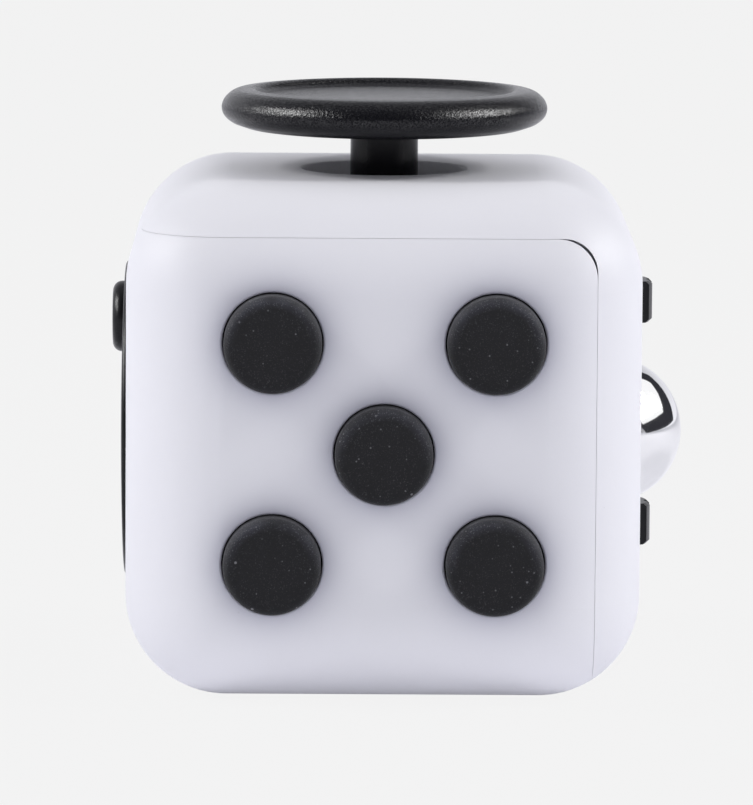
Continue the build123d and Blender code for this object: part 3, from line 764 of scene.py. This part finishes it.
class FIDGETCUBE_OT_joystick(bpy.types.Operator):
    """Turn the joystick's disc with its collar"""

    bl_idname = "fidgetcube.joystick"
    bl_label = "Joystick"

    def execute(self, context):
        looks = context.scene.fidgetcube_case
        shapes = context.scene.fidgetcube_shapes
        low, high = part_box("joystick_cap")
        centre = (low + high) / 2
        radius = (high.x - low.x) / MM / 2 - 0.01
        top = (high.z - low.z) / MM
        under = top - DISC_THICK
        outline = (
            (0, 0, 0),
            (COLLAR, 0, 0.12),
            (COLLAR, under, 0.12),
            (radius - 1.75, under, 0.3),
            (radius - 0.42, top - 2.15, 0.45),
            (radius, top - 1.55, 0.3),
            (radius, top - 0.85, 0.4),
            (radius - 0.75, top - 0.12, 0.42),
            (radius - 2.1, top, 0.3),
            (radius - 2.5, top - shapes.disc_dish, 0.3),
            (0, top - shapes.disc_dish, 0),
        )
        grained_from = low.z + (top - 2.2) * MM
        black = grained_black("stick_black", looks, 0.13, 0.05, 0.2, grained_from)
        bm = turn(outline, shapes.steps)
        place = seat((centre.x, centre.y, low.z), (0, 0, 1))
        crisp(piece(bm, "joystick_disc", place, black, "stick_black", "stick", "joystick_cap"))
        return {"FINISHED"}


class FIDGETCUBE_OT_dial(bpy.types.Operator):
    """Turn the spin dial and its finger boss"""

    bl_idname = "fidgetcube.dial"
    bl_label = "Spin dial"

    def execute(self, context):
        looks = context.scene.fidgetcube_case
        shapes = context.scene.fidgetcube_shapes
        low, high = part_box("dial_disc")
        centre = (low + high) / 2
        face = case_box()[0].x
        radius = (high.z - low.z) / MM / 2
        top = (face - low.x) / MM
        deep = (face - high.x) / MM
        edge = shapes.dial_edge
        crown = []
        for part in range(1, 9):
            share = 1 - part / 8
            crown.append((radius * share, edge + shapes.dial_crown * (1 - share**2), 0))
        outline = (
            (0, deep + DIAL_SCREW_DEPTH, 0),
            (DIAL_SCREW, deep + DIAL_SCREW_DEPTH, 0),
            (DIAL_SCREW, deep, 0),
            (DIAL_HUB, deep, 0.1),
            (DIAL_HUB, DIAL_BACK, 0),
            (radius, DIAL_BACK, 0),
            (radius, edge, 0.25),
            *crown,
        )
        bm = turn(outline, shapes.steps)
        boss = turn(((DIAL_BOSS, 0, 0), (DIAL_BOSS, top, 0.6), (0, top, 0)), shapes.steps // 2)
        bmesh.ops.translate(boss, vec=(0, shapes.dial_boss_at * MM, 0), verts=boss.verts[:])
        spare = bpy.data.meshes.new("spare")
        boss.to_mesh(spare)
        boss.free()
        bm.from_mesh(spare)
        bpy.data.meshes.remove(spare)
        black = grained_black("dial_black", looks, 0.12, 0.008, 0.3)
        place = seat((face, centre.y, centre.z), (-1, 0, 0))
        crisp(piece(bm, "dial_face", place, black, "dial_black", "dial", "dial_disc"))
        return {"FINISHED"}


class FIDGETCUBE_OT_ball(bpy.types.Operator):
    """Make the chrome roller ball"""

    bl_idname = "fidgetcube.ball"
    bl_label = "Roller ball"

    def execute(self, context):
        looks = context.scene.fidgetcube_case
        low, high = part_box("roller_ball")
        bm = bmesh.new()
        bmesh.ops.create_uvsphere(bm, u_segments=96, v_segments=64, radius=(high.x - low.x) / 2)
        place = seat((low + high) / 2, (1, 0, 0))
        chrome = polished_chrome(looks)
        piece(bm, "chrome_ball", place, chrome, "ball_chrome", "ball", "roller_ball")
        return {"FINISHED"}


class FIDGETCUBE_OT_wheels(bpy.types.Operator):
    """Finish the three ridged wheels"""

    bl_idname = "fidgetcube.wheels"
    bl_label = "Ridged wheels"

    def execute(self, context):
        looks = context.scene.fidgetcube_case
        black = grained_black("gear_black", looks, 0.1, 0.008, 0.32)
        give_nodes([f"gear_{name}" for name in WHEELS], black)
        return {"FINISHED"}


class FIDGETCUBE_OT_rocker(bpy.types.Operator):
    """Finish the rocker paddle"""

    bl_idname = "fidgetcube.rocker"
    bl_label = "Rocker"

    def execute(self, context):
        looks = context.scene.fidgetcube_case
        give_nodes(("rocker_paddle",), grained_black("rocker_black", looks, 0.14, 0.012, 0.38))
        return {"FINISHED"}


class FIDGETCUBE_OT_inside(bpy.types.Operator):
    """Finish the modules, springs and screws inside the case"""

    bl_idname = "fidgetcube.inside"
    bl_label = "Inner modules"

    def execute(self, context):
        looks = context.scene.fidgetcube_case
        slots = {row["node"]: row["material_slot"] for row in frame["record"]["subparts"]}
        finishes = {
            "module_grey": moulded_grey(),
            "inner_black": grained_black("inner_black", looks, 0.2, 0.02, 0.5),
            "silicone": soft_silicone(),
            "spring_steel": drawn_steel("spring_steel", (0.62, 0.61, 0.6), 0.28),
            "screw_steel": drawn_steel("screw_steel", (0.5, 0.5, 0.51), 0.36),
        }
        for slot, material in finishes.items():
            give_nodes([node for node, used in slots.items() if used == slot], material)
        return {"FINISHED"}


# Stage


def light_panel(name, size, place, aim, power, colour=(1, 1, 1)):
    """A soft rectangular light aimed at a point."""
    data = bpy.data.lights.new(name, "AREA")
    data.shape = "RECTANGLE"
    data.size, data.size_y = size
    data.energy = power
    data.color = colour
    obj = bpy.data.objects.new(name, data)
    obj.location = place
    obj.rotation_euler = (aim - place).to_track_quat("-Z", "Y").to_euler()
    bpy.context.scene.collection.objects.link(obj)


def glow(name, colour, strength):
    """A material that shines evenly and takes no light."""
    material = bpy.data.materials.new(name)
    tree = empty_tree(material)
    sockets = {"Color": (*colour, 1), "Strength": strength}
    shine = add_node(tree, "ShaderNodeEmission", {}, sockets)
    add_node(tree, "ShaderNodeOutputMaterial", {}, {"Surface": shine.outputs[0]})
    return material


class FIDGETCUBE_OT_stage(bpy.types.Operator):
    """Set up the floor, the light panels and the camera"""

    bl_idname = "fidgetcube.stage"
    bl_label = "Studio"

    def execute(self, context):
        stage = context.scene.fidgetcube_stage
        low, high = case_box()
        centre = (low + high) / 2
        self.backdrop(context, stage)
        self.floor(stage)
        for side in (-1, 1):
            place = centre + Vector((side * 0.262, -0.05, 0.23))
            warm = (1, 0.99, 0.98)
            light_panel(f"panel_{side}", (0.08, 0.08), place, centre, stage.side_light, warm)
            self.soft_box(f"soft_box_{side}", side, centre, stage)
        place = centre + Vector((0, 0.05, 0.35))
        light_panel("panel_top", (0.20, 0.12), place, centre, stage.top_light)
        self.reflector(stage)
        self.camera(context, stage)
        return {"FINISHED"}

    def backdrop(self, context, stage):
        """An even backdrop, whose light on the pieces changes with the direction."""
        world = bpy.data.worlds.new("studio")
        tree = empty_tree(world)

        def maths(operation, *values):
            sockets = dict(enumerate(values))
            return add_node(tree, "ShaderNodeMath", {"operation": operation}, sockets).outputs[0]

        def span(value, start, end, low, high):
            sockets = {"Value": value, "From Min": start, "From Max": end}
            sockets |= {"To Min": low, "To Max": high}
            return add_node(tree, "ShaderNodeMapRange", {}, sockets).outputs[0]

        way = add_node(tree, "ShaderNodeTexCoord", {}, {}).outputs["Generated"]
        split = add_node(tree, "ShaderNodeSeparateXYZ", {}, {"Vector": way}).outputs
        ray = add_node(tree, "ShaderNodeLightPath", {}, {}).outputs
        square = maths("MULTIPLY", split["Y"], split["Y"])
        level = maths("MULTIPLY_ADD", square, -stage.room, stage.room + stage.front_room)
        behind = maths("MAXIMUM", split["Y"], 0)
        level = maths("MULTIPLY_ADD", behind, stage.back_room, level)
        level = maths("MULTIPLY", level, span(split["Z"], 0, 1, 1, stage.overhead))
        front = maths("MULTIPLY", span(split["Y"], -0.2, -0.8, 0, 1), ray["Is Glossy Ray"])
        level = maths("MULTIPLY", level, span(front, 0, 1, 1, stage.shine_room))
        seen = {"Color": (1, 1, 1, 1), "Strength": stage.backdrop}
        seen = add_node(tree, "ShaderNodeBackground", {}, seen).outputs[0]
        lit = {"Color": (0.94, 0.945, 1, 1), "Strength": level}
        lit = add_node(tree, "ShaderNodeBackground", {}, lit).outputs[0]
        both = {0: ray["Is Camera Ray"], 1: lit, 2: seen}
        both = add_node(tree, "ShaderNodeMixShader", {}, both).outputs[0]
        add_node(tree, "ShaderNodeOutputWorld", {}, {"Surface": both})
        context.scene.world = world
        context.scene.view_settings.view_transform = "Standard"
        context.scene.view_settings.look = "None"

    def floor(self, stage):
        """A wide pale sweep that fades into the backdrop."""
        bm = bmesh.new()
        bmesh.ops.create_circle(bm, cap_ends=True, segments=64, radius=6)
        material = bpy.data.materials.new("floor_pale")
        tree = empty_tree(material)

        def shader(kind, sockets):
            return add_node(tree, kind, {}, sockets).outputs[0]

        shine = {"Color": (1, 1, 1, 1), "Strength": stage.backdrop}
        shine = shader("ShaderNodeEmission", shine)
        pale = (stage.bounce, stage.bounce, stage.bounce * 1.04, 1)
        bounce = shader("ShaderNodeBsdfDiffuse", {"Color": pale})
        lift = shader("ShaderNodeEmission", {"Strength": stage.floor_light})
        lifted = shader("ShaderNodeAddShader", {0: bounce, 1: lift})
        ray = shader("ShaderNodeLightPath", {})
        seen = shader("ShaderNodeMixShader", {0: ray, 1: lifted, 2: shine})
        paper = shader("ShaderNodeBsdfDiffuse", {"Color": (0.8, 0.8, 0.82, 1)})
        mix = shader("ShaderNodeMixShader", {0: 0.03, 1: seen, 2: paper})
        add_node(tree, "ShaderNodeOutputMaterial", {}, {"Surface": mix})
        self.card(bm, "floor", material, hidden=False)

    def reflector(self, stage):
        """An eight-sided white panel in a dark frame, seen only in the chrome."""
        ball = middle("roller_ball")
        frame_glow = glow("panel_frame", (0.035, 0.035, 0.042), 1)
        cloth_glow = glow("panel_cloth", (1, 1, 1), stage.reflector)
        self.octagon("panel_frame", ball + Vector((0.352, 0.010, 0.575)), 0.620, frame_glow)
        self.octagon("panel_cloth", ball + Vector((0.350, -0.090, 0.477)), 0.420, cloth_glow)

    def soft_box(self, name, side, centre, stage):
        """A long bright card beside the case, seen only in shiny surfaces."""
        bm = bmesh.new()
        bmesh.ops.create_grid(bm, x_segments=1, y_segments=1, size=0.5)
        size = Matrix.Diagonal((0.11, 0.30, 1, 1))
        stand = Matrix.Rotation(math.radians(90), 4, "Y")
        turned = Matrix.Translation(centre + Vector((side * 0.3, -0.07, 0.165))) @ stand @ size
        bmesh.ops.transform(bm, matrix=turned, verts=bm.verts[:])
        self.card(bm, name, glow(name, (1, 1, 1), stage.soft_box))

    def octagon(self, name, place, radius, material):
        """An eight-sided card that faces the case from its right."""
        bm = bmesh.new()
        bmesh.ops.create_circle(bm, cap_ends=True, segments=8, radius=radius)
        tilt = Matrix.Rotation(math.radians(22.5 - 3), 4, "Z")
        facing = Matrix(((0, 0, -1), (-1, 0, 0), (0, 1, 0))).to_4x4()
        turned = Matrix.Translation(place) @ facing @ tilt
        bmesh.ops.transform(bm, matrix=turned, verts=bm.verts[:])
        self.card(bm, name, material)

    def card(self, bm, name, material, hidden=True):
        """Add a mesh to the studio; a hidden one shows in shiny surfaces only."""
        mesh = bpy.data.meshes.new(name)
        bm.to_mesh(mesh)
        bm.free()
        mesh.materials.append(material)
        obj = bpy.data.objects.new(name, mesh)
        bpy.context.scene.collection.objects.link(obj)
        if hidden:
            obj.visible_camera = False
            obj.visible_diffuse = False
            obj.visible_shadow = False

    def camera(self, context, stage):
        """A long lens a little above the case, turned hardly at all."""
        place = Vector((-3.165, -460, 75.76)) * MM
        pitch, yaw, roll = (math.radians(a) for a in (-7.21, 0.345, 0.372))
        level = Vector((math.sin(yaw), math.cos(yaw), 0))
        ahead = level * math.cos(pitch) + Vector((0, 0, math.sin(pitch)))
        across = Vector((math.cos(yaw), -math.sin(yaw), 0))
        above = across.cross(ahead)
        right = across * math.cos(roll) + above * math.sin(roll)
        up = above * math.cos(roll) - across * math.sin(roll)
        data = bpy.data.cameras.new("camera")
        data.sensor_width = 36
        data.lens = stage.lens
        data.clip_start = 0.01
        data.clip_end = 50
        obj = bpy.data.objects.new("camera", data)
        turned = Matrix((right, up, -ahead)).transposed().to_4x4()
        obj.matrix_world = Matrix.Translation(place) @ turned
        context.scene.collection.objects.link(obj)
        context.scene.camera = obj


class FIDGETCUBE_PT_panel(bpy.types.Panel):
    """The steps that build the fidget cube's looks"""

    bl_idname = "FIDGETCUBE_PT_panel"
    bl_label = "Fidget Cube"
    bl_space_type = "VIEW_3D"
    bl_region_type = "UI"
    bl_category = "Fidget Cube"

    def draw(self, context):
        for step in STEPS:
            self.layout.operator(step.bl_idname)
        for group in (
            context.scene.fidgetcube_case,
            context.scene.fidgetcube_shapes,
            context.scene.fidgetcube_stage,
        ):
            box = self.layout.box()
            for name in group.__annotations__:
                box.prop(group, name)


STEPS = (
    FIDGETCUBE_OT_case,
    FIDGETCUBE_OT_buttons,
    FIDGETCUBE_OT_joystick,
    FIDGETCUBE_OT_dial,
    FIDGETCUBE_OT_ball,
    FIDGETCUBE_OT_wheels,
    FIDGETCUBE_OT_rocker,
    FIDGETCUBE_OT_inside,
    FIDGETCUBE_OT_stage,
)
CLASSES = (FidgetCubeCase, FidgetCubeShapes, FidgetCubeStage, *STEPS, FIDGETCUBE_PT_panel)


def register():
    for cls in CLASSES:
        bpy.utils.register_class(cls)
    bpy.types.Scene.fidgetcube_case = PointerProperty(type=FidgetCubeCase)
    bpy.types.Scene.fidgetcube_shapes = PointerProperty(type=FidgetCubeShapes)
    bpy.types.Scene.fidgetcube_stage = PointerProperty(type=FidgetCubeStage)


def unregister():
    del bpy.types.Scene.fidgetcube_stage
    del bpy.types.Scene.fidgetcube_shapes
    del bpy.types.Scene.fidgetcube_case
    for cls in reversed(CLASSES):
        bpy.utils.unregister_class(cls)


def main():
    """Build every piece and the studio."""
    register()
    bpy.ops.fidgetcube.case()
    bpy.ops.fidgetcube.buttons()
    bpy.ops.fidgetcube.joystick()
    bpy.ops.fidgetcube.dial()
    bpy.ops.fidgetcube.ball()
    bpy.ops.fidgetcube.wheels()
    bpy.ops.fidgetcube.rocker()
    bpy.ops.fidgetcube.inside()
    bpy.ops.fidgetcube.stage()


if __name__ == "__main__":
    main()
